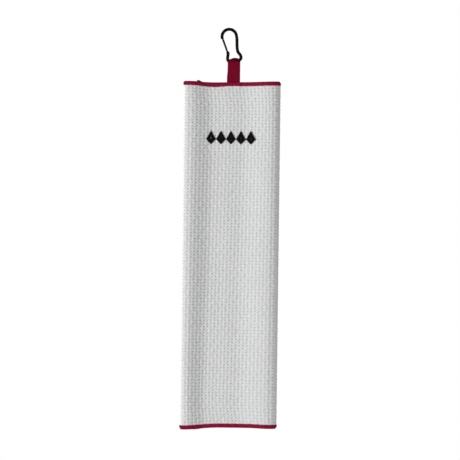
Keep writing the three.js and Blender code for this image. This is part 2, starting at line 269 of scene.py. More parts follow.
def cloth_material():
    """Ridges of looped yarn round pits, with the pits painted darker as painted shade. UV is in
    metres of flat cloth, relief is 1 on a ridge.
    """
    paint = Paint("waffle_cloth")
    place = paint.place("UV")
    across, up, _ = paint.axes(place)
    relief = paint.attribute("relief")
    yarn = (across * 9.2).sine() * 0.5 + (up * 10.1).sine() * 0.5
    loops = paint.noise(place, 1.9, 3.0, 0.65)
    shade = paint.noise(place, 0.045, 2.0, 0.5)
    speck = paint.noise(place, 0.75, 2.0, 0.6)
    height = yarn * 0.45 + loops * 1.1
    # Painted shade: the colour falls to the pit colour where the relief sinks into a pit
    out_of_pit_shade = (relief * 1.9 + loops * 0.4 - 0.28).clamped()
    base = paint.mix(out_of_pit_shade, colour("cloth_pit"), colour("cloth"))
    mottled = paint.mix((speck * 1.3 - 0.45).clamped() * 0.3, base, darker(colour("cloth"), 0.62))
    soft = paint.mix((shade - 0.45).clamped() * 0.5, mottled, darker(colour("cloth"), 0.8))
    return paint.finish(
        Base_Color=soft,
        Roughness=0.86 + loops * 0.12,
        Normal=paint.bump(height, 0.22 * MM, 0.55),
        Sheen_Weight=0.1,
        Sheen_Roughness=0.5,
        Specular_IOR_Level=0.1,
    )


def tape_material():
    """Twill tape: fine ribs on the slant. UV is in metres along and across the tape."""
    paint = Paint("crimson_tape")
    place = paint.place("UV")
    along, across, _ = paint.axes(place)
    twill = ((along + across * 0.7) * 8.4).sine() * 0.5 + 0.5
    fibre = paint.noise(place, 2.6, 3.0, 0.7)
    patch = paint.noise(place, 0.16, 2.0, 0.5)
    height = twill * 0.6 + fibre * 0.5
    dark, light = darker(colour("tape"), 0.55), colour("tape")
    base = paint.mix((twill * 0.45 + fibre * 0.5).clamped(), dark, light)
    faded = (0.36, 0.035, 0.085, 1.0)
    worn = paint.mix((patch * 1.8 - 0.75).clamped() * 0.45, base, faded)
    return paint.finish(
        Base_Color=worn,
        Roughness=0.68 + fibre * 0.2,
        Normal=paint.bump(height, 0.12 * MM, 0.6),
        Specular_IOR_Level=0.04,
    )


def webbing_material():
    """Plain-woven webbing: ribs across in a brick pattern, with firm edges, painted darker as shade
    where it goes over the bar.
    """
    paint = Paint("crimson_webbing")
    place = paint.place("UV")
    along, across, _ = paint.axes(place)
    column = (across * 1.1).fraction()
    shifted = along * 4.6 + (column * 2.0 - 1.0).size() * 2.2
    rib = shifted.sine() * 0.5 + 0.5
    cord = (across * 6.9).sine() * 0.5 + 0.5
    fibre = paint.noise(place, 2.2, 3.0, 0.7)
    height = rib * 0.7 + cord * 0.35 + fibre * 0.35
    dark, light = darker(colour("webbing"), 0.5), colour("webbing")
    base = paint.mix((rib * 0.4 + cord * 0.25 + fibre * 0.45).clamped(), dark, light)
    patch = paint.noise(place, 0.12, 2.0, 0.5)
    shaded = paint.mix((patch * 1.6 - 0.6).clamped() * 0.5, base, dark)
    # Painted shade: the webbing is darkened over the top of the bar, where its bight lies in shade
    grime = paint.attribute("grime")
    bight_shade_share = (grime * (0.75 + patch * 0.4)).clamped()
    shaded_bight = paint.mix(bight_shade_share, shaded, darker(colour("webbing"), 0.28))
    return paint.finish(
        Base_Color=shaded_bight,
        Roughness=0.6 + fibre * 0.25,
        Normal=paint.bump(height, 0.2 * MM, 0.7),
        Specular_IOR_Level=0.04,
    )


def thread_material(name, colour_name, gloss):
    """Twisted thread: a fine slanting ply along each stitch."""
    paint = Paint(name)
    place = paint.place("Object")
    across, deep, up = paint.axes(place)
    ply = ((across * 1.3 + up * 0.9 + deep) * 9.0).sine() * 0.5 + 0.5
    fibre = paint.noise(place, 3.0, 2.0, 0.6)
    dark, light = darker(colour(colour_name), 0.6), colour(colour_name)
    base = paint.mix((ply * 0.6 + fibre * 0.4).clamped(), dark, light)
    return paint.finish(
        Base_Color=base,
        Roughness=gloss + fibre * 0.2,
        Normal=paint.bump(ply + fibre * 0.5, 0.06 * MM, 0.5),
        Specular_IOR_Level=0.12,
    )


def anodised_material():
    """Black anodised aluminium, rubbed a little in scattered patches."""
    paint = Paint("black_anodised")
    place = paint.place("Object")
    grain = paint.noise(place, 3.5, 4.0, 0.6)
    smear = paint.noise(place, 0.22, 3.0, 0.6)
    rub = paint.noise(place, 0.9, 4.0, 0.7)
    bare = ((rub * smear * 4.0) - 1.4).clamped() * 0.25
    base = paint.mix(bare, colour("hook"), (0.03, 0.031, 0.033, 1.0))
    return paint.finish(
        Base_Color=base,
        Roughness=0.36 + grain * 0.06 + smear * 0.12,
        Metallic=bare * 0.3,
        Normal=paint.bump(grain, 0.004 * MM, 0.15),
        Specular_IOR_Level=0.06,
    )


def steel_material():
    """Bright steel with fine turning marks."""
    paint = Paint("bright_steel")
    place = paint.place("Object")
    across, _, up = paint.axes(place)
    marks = paint.noise(place, 6.0, 3.0, 0.6)
    lines = ((across + up) * 30.0).sine() * 0.5 + 0.5
    base = paint.mix(marks, darker(colour("steel"), 0.6), colour("steel"))
    return paint.finish(
        Base_Color=base,
        Roughness=0.22 + marks * 0.2,
        Metallic=1.0,
        Normal=paint.bump(lines + marks, 0.01 * MM, 0.3),
    )


def floor_material():
    paint = Paint("studio_floor")
    place = paint.place("Object", 1.0)
    cloudy = paint.noise(place, 3.0, 2.0, 0.5)
    base = paint.mix(cloudy * 0.3, colour("floor"), darker(colour("floor"), 0.94))
    return paint.finish(Base_Color=base, Roughness=0.8 + cloudy * 0.1)


def material(name):
    """A finish by the name of its slot in the record, made the first time it is asked for."""
    makers = {
        "waffle_cloth": cloth_material,
        "crimson_tape": tape_material,
        "crimson_webbing": webbing_material,
        "crimson_thread": lambda: thread_material("crimson_thread", "tape", 0.5),
        "black_thread": lambda: thread_material("black_thread", "thread", 0.32),
        "black_anodised": anodised_material,
        "bright_steel": steel_material,
        "studio_floor": floor_material,
    }
    return bpy.data.materials.get(f"{name}_finish") or makers[name]()


# ---- Meshes ----


def piece(name, source, finish, smooth=True):
    """A bmesh or a mesh as an object with its finish, riding on nothing yet."""
    mesh = source
    if isinstance(source, bmesh.types.BMesh):
        mesh = bpy.data.meshes.new(name)
        source.to_mesh(mesh)
        source.free()
    mesh.name = name
    mesh.polygons.foreach_set("use_smooth", [smooth] * len(mesh.polygons))
    made = bpy.data.objects.new(name, mesh)
    bpy.context.scene.collection.objects.link(made)
    made.data.materials.append(material(finish))
    return made


def copies(bm, count):
    """A mesh with count copies of a bmesh, each after the one before in its list of points."""
    mesh = bpy.data.meshes.new("pattern")
    bm.to_mesh(mesh)
    bm.free()
    holder = bpy.data.objects.new("pattern", mesh)
    bpy.context.scene.collection.objects.link(holder)
    array = holder.modifiers.new("copies", "ARRAY")
    array.use_relative_offset = False
    array.count = count
    evaluated = holder.evaluated_get(bpy.context.evaluated_depsgraph_get())
    made = bpy.data.meshes.new_from_object(evaluated)
    bpy.data.objects.remove(holder)
    bpy.data.meshes.remove(mesh)
    return made


def points_of(mesh):
    flat = np.empty(len(mesh.vertices) * 3)
    mesh.vertices.foreach_get("co", flat)
    return flat.reshape(-1, 3)


def set_points(mesh, points):
    mesh.vertices.foreach_set("co", points.astype(np.float32).ravel())
    mesh.update()


def turn_outward(mesh):
    bm = bmesh.new()
    bm.from_mesh(mesh)
    bmesh.ops.recalc_face_normals(bm, faces=bm.faces[:])
    bm.to_mesh(mesh)
    bm.free()


def set_uv(mesh, pairs):
    """Gives each corner the pair of its vertex."""
    corners = np.empty(len(mesh.loops), int)
    mesh.loops.foreach_get("vertex_index", corners)
    layer = mesh.uv_layers.new(name="UVMap")
    layer.data.foreach_set("uv", pairs[corners].astype(np.float32).ravel())


def smoothstep(low, high, value):
    """0 at low, 1 at high, easing in between. low may be the greater."""
    share = np.clip((value - low) / (high - low), 0, 1)
    return share * share * (3 - 2 * share)


def slab(columns, rows, width, height):
    """A flat grid from zero to width and height."""
    bm = bmesh.new()
    bmesh.ops.create_grid(
        bm,
        x_segments=columns,
        y_segments=rows,
        size=0.5,
        matrix=Matrix.Diagonal((width, height, 1, 1)) @ Matrix.Translation((0.5, 0.5, 0)),
    )
    return bm


def thicken(bm, thickness):
    """Gives a flat grid at zero a second face at -thickness and a closed rim, facing outward."""
    bmesh.ops.solidify(bm, geom=bm.faces[:], thickness=thickness)
    bmesh.ops.recalc_face_normals(bm, faces=bm.faces[:])


# ---- How the cloth lies ----

# Soft rolls of the folded towel, from the left fold to the right: where each slope starts and ends
# as shares of the width, and how far the cloth comes forward over it, in millimetres
SLOPES = (
    (-0.07, 0.11, 1.8),
    (0.05, 0.29, -5.5),
    (0.36, 0.46, 0.3),
    (0.58, 0.93, 5.3),
    (0.89, 1.03, -2.2),
)
LEFT_STAND = 0.6  # how far the left fold itself stands forward, in millimetres
CORNER_RADIUS = 2.6 * MM  # of the folded towel's corners


def shares(x, z):
    """Where a point is across and up the folded towel, from 0 to 1."""
    return (x - EDGE_LEFT) / (EDGE_RIGHT - EDGE_LEFT), (z - BOTTOM_Z) / (TOP_Z - BOTTOM_Z)


def bell(value, centre, spread):
    return np.exp(-0.5 * ((value - centre) / spread) ** 2)


def roll_depth(x, z):
    """How far the folded towel stands forward of flat, in metres. All layers roll together."""
    share, up = shares(x, z)
    total = np.full_like(x, LEFT_STAND)
    for n, (start, end, rise) in enumerate(SLOPES):
        wander = 0.018 * np.sin(4.1 * up + 1.9 * n) * np.sin(math.pi * np.clip(share, 0, 1))
        total += rise * smoothstep(start, end, share + wander)
    total += 0.16 * np.sin(17 * up + 9 * share) * np.sin(math.pi * np.clip(share, 0, 1))
    return total * MM


def corner_drop(gap, radius):
    """How much a corner is rounded off at a gap from the fold."""
    into = np.clip(radius - gap, 0, radius)
    return radius - np.sqrt(radius**2 - into**2 * 0.96)


def edge_shift(x, z, front):
    """How far the top and bottom edges stand above a straight line, in metres.

    front is 1 on the front layer and 0 on the layers behind it.
    """
    share, up = shares(x, z)
    near_top = smoothstep(0.9, 1.0, up)
    near_bottom = 1 - smoothstep(0.0, 0.1, up)
    rise = 1.3 * smoothstep(0.6, 1.0, share) + 0.6 * (1 - smoothstep(0.1, 0.22, share))
    dip = -0.55 - 1.2 * front
    top = rise + dip * bell(share, 0.31, 0.085)
    bottom = -3.1 * (1 - smoothstep(0.03, 0.42, share)) - 0.7 * smoothstep(0.72, 0.92, share)
    bottom += (1 - front) * (0.5 - 1.3 * bell(share, 0.17, 0.06))
    right = corner_drop(EDGE_RIGHT - x, CORNER_RADIUS)
    left = corner_drop(x - EDGE_LEFT, CORNER_RADIUS)
    at_top = smoothstep(TOP_Z - 5 * MM, TOP_Z, z)
    at_bottom = smoothstep(BOTTOM_Z + 5 * MM, BOTTOM_Z, z)
    corners = at_bottom * (right + left) - at_top * (right + 0.35 * left)
    return (near_top * top + near_bottom * bottom) * MM + corners


def weave_lean(x, z):
    """How far the weave has pulled sideways, in metres: nothing at the edges and hems."""
    share, up = shares(x, z)
    held = np.sin(math.pi * np.clip(share, 0, 1)) * (1 - smoothstep(0.42, 0.49, np.abs(up - 0.5)))
    return 0.014 * (TOP_Z - BOTTOM_Z) * (up - 0.5) * held


def weave_wander(x, z):
    """How far the cells stand out of line with their neighbours, sideways and up, in metres."""
    share, up = shares(x, z)
    held = smoothstep(0.0, 0.06, share) * smoothstep(1.0, 0.94, share)
    held = held * (1 - smoothstep(0.45, 0.485, np.abs(up - 0.5)))
    sideways = np.sin(x * 470 + 2.3 * np.sin(z * 71)) * np.sin(z * 390 + 1.9 * np.sin(x * 83))
    upward = np.sin(x * 640 + 2.7 * np.sin(z * 47)) * np.sin(z * 210 + 2.2 * np.sin(x * 59))
    return 0.3 * MM * sideways * held, 0.5 * MM * upward * held


def beside_web(x):
    """1 where the webbing is sewn in, falling to 0 beside it."""
    reach = np.maximum(TAIL_LOW.x - x, x - TAIL_HIGH.x)
    return 1 - smoothstep(0, 4 * MM, reach)


class Layer:
    """One part of the cloth, laid out flat: across runs from the front panel's edge outwards."""

    def __init__(self, name, body, side, radius, width):
        self.name, self.body, self.side = name, body, side
        self.radius, self.width = radius, width
        self.bend = math.pi * radius
        self.edge = 0.0 if side == 0 else (LEFT_X if side < 0 else RIGHT_X)
        self.length = width + self.bend

    def place(self, across, z, out):
        """Points in the row frame. out is how far a point stands off the cloth's outer side."""
        inside = self.width - across if self.side == 0 else across - self.bend
        near = np.minimum(across, inside) if self.side == 0 else inside
        squeeze = 0.3 + 0.4 * smoothstep(0.8 * MM, 1.4 * MM, -out)
        out = np.where(out < 0, out * (squeeze + (1 - squeeze) * smoothstep(0, 4 * MM, near)), out)
        if self.side == 0:
            x, y = LEFT_X + across, -out
            y = y - 0.7 * MM * beside_web(x) * smoothstep(TAPE_LOW.z - 4 * MM, TAPE_LOW.z, z)
            front = np.ones_like(x)
        else:
            angle = np.clip(across / self.radius, 0, math.pi)
            reach = self.radius + out
            x = self.edge + self.side * (reach * np.sin(angle) - np.maximum(inside, 0))
            y = self.radius - reach * np.cos(angle)
            front = np.clip(1 - y / self.radius, 0, 1)
        lift = self.corner_lift(across, z)
        lifted = z + edge_shift(x, z, front) + lift
        sideways, upward = weave_wander(x, z)
        x_leant = x + weave_lean(x, z) + sideways - 0.8 * lift
        return np.stack([x_leant, y - roll_depth(x, z), lifted + upward], axis=1)

    def corner_lift(self, across, z):
        """The outer layer's free corner stands up behind the front edge."""
        if self.side <= 0:
            return np.zeros_like(across)
        to_free = self.length - across
        near_top = smoothstep(TOP_Z - 30 * MM, TOP_Z, z)
        return 2.4 * MM * near_top * (1 - smoothstep(3 * MM, 7 * MM, to_free))

    def flat_x(self, across):
        """Where a point is across the whole flat cloth, so that the weave runs over the folds."""
        if self.side == 0:
            return across
        return -across if self.side < 0 else (RIGHT_X - LEFT_X) + across

    def settle(self, made):
        """Makes a front piece ride on the towel's body; a flap's piece only has its transform
        baked.
        """
        if self.side == 0:
            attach(made, "towel")
            return
        height = (TOP_Z + BOTTOM_Z) / 2
        stand = float(roll_depth(np.array(self.edge), np.array(height)))
        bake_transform(made)


def layers():
    inner_y, outer_y = middle("inner_flap").y, middle("outer_flap").y
    inner_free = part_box("inner_flap_edge_binding")[1].x
    outer_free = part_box("outer_flap_edge_binding")[0].x
    return {
        "front": Layer("front", "towel", 0, 0.0, RIGHT_X - LEFT_X),
        "inner": Layer("inner", "inner", -1, inner_y / 2, inner_free - LEFT_X),
        "outer": Layer("outer", "outer", 1, outer_y / 2, RIGHT_X - outer_free),
    }


GRID_PER_CELL = 4  # faces of the cloth's grid to a side of a waffle cell


def waffle(flat_x, z, cell_x, cell_z):
    """1 on a ridge, falling to 0 in the middle of a square pit."""
    over = np.abs(np.mod(flat_x / cell_x, 1.0) - 0.5) * 2
    up = np.abs(np.mod(z / cell_z, 1.0) - 0.5) * 2
    return 1 - over * up**2


def make_cloth_layer(layer, replaced):
    """A layer of waffle cloth with pits on both faces, wrapped round its fold."""
    size = sizes()
    inset = size.tape_thickness + PIECE_GAP
    free = inset if layer.side else 0.0
    width = layer.length - free
    low, high = BOTTOM_Z + inset, TOP_Z - inset
    cell_x = (RIGHT_X - LEFT_X) / size.cells_across
    cell_z = (high - low) / size.cells_up
    columns, rows = GRID_PER_CELL * round(width / cell_x), GRID_PER_CELL * size.cells_up
    bm = slab(columns, rows, width, high - low)
    thicken(bm, 1 * MM)
    made = piece(f"cloth_{layer.name}", bm, "waffle_cloth")
    mesh = made.data
    flat = points_of(mesh)
    across, z = flat[:, 0], flat[:, 1] + low
    outer = np.where(flat[:, 2] > -0.5 * MM, 1.0, -1.0)
    flat_x = layer.flat_x(across)
    shift = np.where(outer > 0, 0.0, 0.5)
    relief = waffle(flat_x + shift * cell_x, flat[:, 1] + shift * cell_z, cell_x, cell_z)
    to_hem = np.minimum(z - low, high - z)
    if layer.side:
        to_hem = np.minimum(to_hem, width - across)
    flattened = 0.25 + 0.75 * smoothstep(4.2 * MM, 6.4 * MM, to_hem)
    uneven = 1 + 0.15 * np.sin(flat_x * 610 + 1.7 * np.sin(z * 83)) * np.sin(z * 447 + flat_x * 91)
    out = outer * (size.core + relief * size.pit_depth * flattened * uneven)
    set_points(mesh, layer.place(across, z, out))
    set_uv(mesh, np.stack([flat_x, z], axis=1))
    # The relief also paints shade into the pits, through the cloth's colour
    ridge = mesh.attributes.new("relief", "FLOAT", "POINT")
    ridge.data.foreach_set("value", relief.astype(np.float32))
    mesh.set_sharp_from_angle(angle=math.radians(60))
    layer.settle(made)
    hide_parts(*replaced)


# ---- Binding tape ----

TAPE_STEP = 1.6 * MM  # of the tape's grid along it
TAPE_ROWS = 18  # of the tape's grid round its fold
SLOT_INSET = 0.12  # share of the way round that stays whole beside the webbing's slot
STITCH_LENGTH, STITCH_THICKNESS = 0.95 * MM, 0.24 * MM  # half of each


class Edge:
    """A bound edge of a layer: runs along the cloth, and depth goes in from the edge."""

    def __init__(self, layer, kind, start, end):
        self.layer, self.kind = layer, kind
        self.start, self.end = start, end

    def place(self, along, depth, out):
        if self.kind == "top":
            return self.layer.place(along, TOP_Z - depth, out)
        if self.kind == "bottom":
            return self.layer.place(along, BOTTOM_Z + depth, out)
        return self.layer.place(self.layer.length - depth, along, out)


def edges_of(layer):
    found = [Edge(layer, kind, 0.0, layer.length) for kind in ("top", "bottom")]
    if layer.side:
        under = sizes().tape_width * 0.15
        found.append(Edge(layer, "free", BOTTOM_Z + under, TOP_Z - under))
    return found


def fold_profile(run, off, width, space, thickness):
    """Where a point of the tape's section is: run goes round it, off is 0 on its inner face."""
    bend_middle = space + thickness
    leg = width - bend_middle
    arc = math.pi * space
    angle = np.clip((run - leg) / space, 0, math.pi)
    radius = space + off
    depth = bend_middle - radius * np.sin(angle)
    depth = np.where(run < leg, width - run, depth)
    depth = np.where(run > leg + arc, bend_middle + (run - leg - arc), depth)
    return depth, radius * np.cos(angle)


def web_across():
    """The webbing's reach along the front panel's edge."""
    return TAIL_LOW.x - LEFT_X - PIECE_GAP, TAIL_HIGH.x - LEFT_X + PIECE_GAP


def make_tape_strip(bm_all, edge):
    """Adds one strip of folded tape to bm_all, laid out along an edge and already in place."""
    size = sizes()
    space, thickness = size.tape_space, size.tape_thickness
    if edge.kind == "free":
        space -= 0.15 * MM
    span = edge.end - edge.start
    leg = size.tape_width - space - thickness
    around = 2 * leg + math.pi * space
    columns = max(8, round(span / TAPE_STEP))
    bm = slab(columns, TAPE_ROWS, span, around)
    if edge.kind == "top" and edge.layer.side == 0:
        low, high = web_across()
        first, last = leg + SLOT_INSET * around, around - leg - SLOT_INSET * around
        centres = [(f, f.calc_center_median()) for f in bm.faces]
        slot = [f for f, at in centres if low < at.x < high and first < at.y < last]
        bmesh.ops.delete(bm, geom=slot, context="FACES")
    thicken(bm, thickness)
    flat = np.array([v.co[:] for v in bm.verts])
    run, off = flat[:, 1], flat[:, 2] + thickness
    along = flat[:, 0] + edge.start
    depth, out = fold_profile(run, off, size.tape_width, space, thickness)
    to_lip = np.minimum(run, around - run)
    lip = 1 - smoothstep(0, 2.2 * MM, to_lip)
    run_on = along if edge.kind == "free" else edge.layer.flat_x(along)
    pucker = np.sin(run_on * math.tau / (3 * size.stitch_pitch)) * np.sin(run_on * 211)
    depth += lip * 0.22 * MM * pucker
    out += np.sign(out) * (0.10 * MM * pucker * (1 - lip) - 0.35 * MM * lip)
    if edge.layer.side == 0 and edge.kind == "top":
        at_web = beside_web(LEFT_X + along)
        stands_off = smoothstep(0.3, 1.2, np.abs(out) / MM)
        out -= (np.where(out < 0, 0.75, 0.35) * at_web * stands_off) * MM
    placed = edge.place(along, depth, out)
    uv = bm.loops.layers.uv.new("UVMap")
    for vert, point, pair in zip(bm.verts, placed, np.stack([run_on, run], axis=1)):
        vert.co = point
        for loop in vert.link_loops:
            loop[uv].uv = pair
    kept = bpy.data.meshes.new("strip")
    bm.to_mesh(kept)
    bm.free()
    bm_all.from_mesh(kept)
    bpy.data.meshes.remove(kept)


def make_tape(name, edges, replaced):
    bm = bmesh.new()
    for edge in edges:
        make_tape_strip(bm, edge)
    made = piece(name, bm, "crimson_tape")
    edges[0].layer.settle(made)
    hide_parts(*replaced)


def make_stitches(name, edges):
    """A running line of small stitches near the inner lip of the tape, on both faces."""
    size = sizes()
    shape = Matrix.Diagonal((STITCH_LENGTH, STITCH_THICKNESS, STITCH_THICKNESS, 1))
    stand = size.tape_space + size.tape_thickness - 0.12 * MM
    depth_in = size.tape_width - 1.5 * MM
    counts = []
    for edge in edges:
        free_ends = 1.2 * MM + (size.tape_width if edge.kind == "free" else 0)
        counts.append(int((edge.end - edge.start - 2 * free_ends) / size.stitch_pitch))
    bm = bmesh.new()
    bmesh.ops.create_uvsphere(bm, u_segments=6, v_segments=4, radius=1, matrix=shape)
    each = len(bm.verts)
    mesh = copies(bm, 2 * sum(counts))
    points = points_of(mesh)
    first = 0
    for edge, count in zip(edges, counts):
        free_ends = (edge.end - edge.start - count * size.stitch_pitch) / 2
        centres = edge.start + free_ends + (np.arange(count) + 0.5) * size.stitch_pitch
        for face in (1, -1):
            part = slice(first, first + count * each)
            along = np.repeat(centres, each) + points[part, 0]
            depth, out = depth_in + points[part, 1], face * (stand + points[part, 2])
            points[part] = edge.place(along, depth, out)
            first += count * each
    set_points(mesh, points)
    made = piece(name, mesh, "crimson_thread")
    turn_outward(made.data)
    edges[0].layer.settle(made)


# ---- Webbing ----

WEB_COLUMNS, WEB_ROWS = 26, 190  # of the webbing's grid
BUNCH = 0.42  # share of its width that it loses where it goes over the bar


def web_route(thickness):
    """The webbing's middle line as (y, z) points: up the front, over the bar and down the back."""
    flat, open_half, rise = thickness * 0.54, 2.5 * MM + thickness / 2, 1.5 * MM
    bar, neck = BAR_MIDDLE.z, BAR_MIDDLE.z - 15 * MM
    bottom = TAPE_LOW.z + 0.4 * MM
    side = [(flat, bottom + (neck - bottom) * n / 20) for n in range(21)]
    first, last = Vector((flat, neck)), Vector((open_half, bar - 2.5 * MM))
    controls = Vector((flat, bar - 10 * MM)), Vector((open_half, bar - 7 * MM))
    for n in range(1, 13):
        t = n / 12
        a, b = first.lerp(controls[0], t), controls[0].lerp(controls[1], t)
        c = controls[1].lerp(last, t)
        side.append(tuple(a.lerp(b, t).lerp(b.lerp(c, t), t)))
    side.append((open_half, bar + rise))
    turns = [n * math.pi / 24 for n in range(1, 24)]
    over = [(-open_half * math.cos(a), bar + rise + open_half * math.sin(a)) for a in turns]
    return np.array([(-y, z) for y, z in side] + over + side[::-1])


def make_webbing():
    """One strip of webbing, doubled over the hook's bar and bunched where it goes through."""
    thickness = sizes().web_thickness
    route = web_route(thickness)
    run = np.concatenate([[0], np.cumsum(np.hypot(*np.diff(route, axis=0).T))])
    width = LOOP_HIGH.x - LOOP_LOW.x
    bm = slab(WEB_COLUMNS, WEB_ROWS, width, run[-1])
    thicken(bm, thickness)
    made = piece("webbing", bm, "crimson_webbing")
    mesh = made.data
    flat = points_of(mesh)
    across, along = flat[:, 0] - width / 2, flat[:, 1]
    off = flat[:, 2] + thickness / 2
    y, z = (np.interp(along, run, route[:, k]) for k in (0, 1))
    step = 0.2 * MM
    dy, dz = (
        np.interp(along + step, run, route[:, k]) - np.interp(along - step, run, route[:, k])
        for k in (0, 1)
    )
    length = np.hypot(dy, dz)
    pressed = 1 - 0.3 * smoothstep(TOP_Z + 8 * MM, TOP_Z - 1 * MM, z)
    half_share = 2 * np.abs(across) / width
    off = off * pressed * (1 - 0.45 * smoothstep(0.92, 1.0, half_share))
    y, z = y * pressed - off * dz / length, z + off * dy / length
    above = z - BAR_MIDDLE.z
    bunched = smoothstep(1.6 * MM, 5.2 * MM, above)
    middle_x = (LOOP_LOW.x + LOOP_HIGH.x) / 2
    centre = middle_x + (BAR_MIDDLE.x - middle_x) * bunched
    flare = 0.85 * MM * np.clip(-2 * across / width, 0, 1) * smoothstep(-12 * MM, -26 * MM, above)
    free = smoothstep(TOP_Z - 1.5 * MM, TOP_Z + 0.5 * MM, z)
    x = centre + across * (1 - BUNCH * bunched) - flare * free
    cup = 0.55 * MM * (half_share**2 - 0.3) * smoothstep(-22 * MM, 0, above)
    y -= np.sign(y) * cup * (1 - bunched)
    z -= bunched * 1.1 * MM * half_share**2
    slack = 1 - smoothstep(0, 24 * MM, -above)
    y += 0.12 * MM * np.sin(z * 900 + across * 300) * slack
    stand = -float(roll_depth(np.array(middle_x), np.array(TOP_Z)))
    sewn_in = smoothstep(TOP_Z, TOP_Z - 3 * MM, z)
    y += stand * smoothstep(TOP_Z + 16 * MM, TOP_Z, z) + 0.5 * MM * sewn_in
    set_points(mesh, np.stack([x, y, z], axis=1))
    set_uv(mesh, np.stack([along, across], axis=1))
    # Painted shade: marks the webbing from just below the bar's top upward, to be painted darker
    grime = mesh.attributes.new("grime", "FLOAT", "POINT")
    grime.data.foreach_set("value", smoothstep(-3 * MM, 1.5 * MM, above).astype(np.float32))
    seam = 1.5 * MM
    start, end = (middle_x, 0, SEAM_Z + seam), (middle_x, 0, SEAM_Z - seam)
    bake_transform(made)
    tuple(start)
    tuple(end)
    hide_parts("strap_loop", "strap_ends")


# ---- Embroidery ----


def make_emblem():
    """A row of diamonds in satin stitch: threads run down from a spine to both edges."""
    size = sizes()
    low, high = EMBLEM_LOW, EMBLEM_HIGH
    pitch = (high.x - low.x) / size.diamonds
    half_x, half_z = pitch * 0.5, (high.z - low.z) / 2
    spacing, thread = 0.46 * MM, 0.3 * MM
    front = -(size.core + 1.15 * size.pit_depth)
    heights = np.arange(-half_z + spacing, half_z, spacing)
    reaches = half_x * (1 - np.abs(heights) / half_z)
    rows = [(z, side * reach) for z, reach in zip(heights, reaches) for side in (-1, 1)]
    bm = bmesh.new()
    bmesh.ops.create_uvsphere(
        bm, u_segments=6, v_segments=6, radius=1, matrix=Matrix.Rotation(math.pi / 2, 4, "Y")
    )
    each = len(bm.verts)
    mesh = copies(bm, size.diamonds * len(rows))
    points = points_of(mesh)
    for n in range(size.diamonds):
        for k, (z, reach) in enumerate(rows):
            slant = -0.35 * abs(reach)
            length = math.hypot(reach, slant) / 2 + thread * 1.5
            lift = 0.13 * MM + 0.04 * MM * (k // 2 % 2)
            x = low.x + (n + 0.5) * pitch + reach / 2
            shape = (
                Matrix.Translation((x, front - lift, (low.z + high.z) / 2 + z + slant / 2))
                @ Matrix.Rotation(-math.atan2(slant, reach), 4, "Y")
                @ Matrix.Diagonal((length, thread * 1.5, thread * 0.95, 1))
            )
            at = (n * len(rows) + k) * each
            turn = np.array(shape)
            points[at : at + each] = points[at : at + each] @ turn[:3, :3].T + turn[:3, 3]
    points[:, 1] -= roll_depth(points[:, 0], points[:, 2])
    set_points(mesh, points)
    made = piece("emblem_diamonds", mesh, "black_thread")
    turn_outward(made.data)
    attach(made, "towel")
    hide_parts("emblem_embroidery")


# ---- Snap hook ----

TILT = -math.radians(14.0)  # the hook's top leans to the left, about the Y axis
ARC_CENTRE = Vector((0, 0, -8.5 * MM))


def hook_matrix():
    """From the hook's plane, U across and V up from its top arc's centre, to the row frame."""
    return Matrix.Translation(ARC_CENTRE) @ Matrix.Rotation(TILT, 4, "Y")


def arc(centre_u, centre_v, radius, start, end, steps):
    """Points of an arc in the hook's plane, in millimetres, angles in degrees."""
    angles = [math.radians(start + (end - start) * n / steps) for n in range(steps + 1)]
    return [
        Vector((centre_u + radius * math.cos(a), 0, centre_v + radius * math.sin(a)))
        for a in angles
    ]


def bezier(a, b, c, d, steps):
    """Points of a cubic curve between two (U, V) points, without its ends."""
    found = []
    for n in range(1, steps):
        t = n / steps
        pulls = ((1 - t) ** 3, 3 * t * (1 - t) ** 2, 3 * t * t * (1 - t), t**3)
        u, v = (sum(pull * p[k] for pull, p in zip(pulls, (a, b, c, d))) for k in (0, 1))
        found.append(Vector((u, 0, v)))
    return found


WAIST, WAIST_DROP = 7.1, 23.6
LOBE, BAR_DROP, CORNER = 9.95, 37.5, 5.0
TOP_RADIUS = 10.6
PIVOT_U, PIVOT_V = -7.6, -23.3
NOSE_U, GATE_LENGTH = -10.1, 22.1


def hook_line():
    """The middle line of the rod in millimetres, from its heel round the bar and up to the nose."""
    inset, corner_v = LOBE - CORNER, CORNER - BAR_DROP
    heel = (PIVOT_U + 0.3, PIVOT_V + 1.4)
    line = [Vector((heel[0], 0, heel[1]))]
    line += bezier(heel, (-WAIST, -26), (-LOBE, -28.5), (-LOBE, corner_v), 12)
    line += arc(-inset, corner_v, CORNER, 180, 270, 12)
    line += arc(inset, corner_v, CORNER, 270, 360, 12)
    line += bezier((LOBE, corner_v), (LOBE, -28.5), (WAIST, -27), (WAIST, -WAIST_DROP), 12)
    line += [Vector((WAIST, 0, -WAIST_DROP))]
    line += bezier((WAIST, -WAIST_DROP), (WAIST, -15), (TOP_RADIUS, -9), (TOP_RADIUS, 0), 16)
    line += arc(0, 0, TOP_RADIUS, 0, 184, 40)
    return line


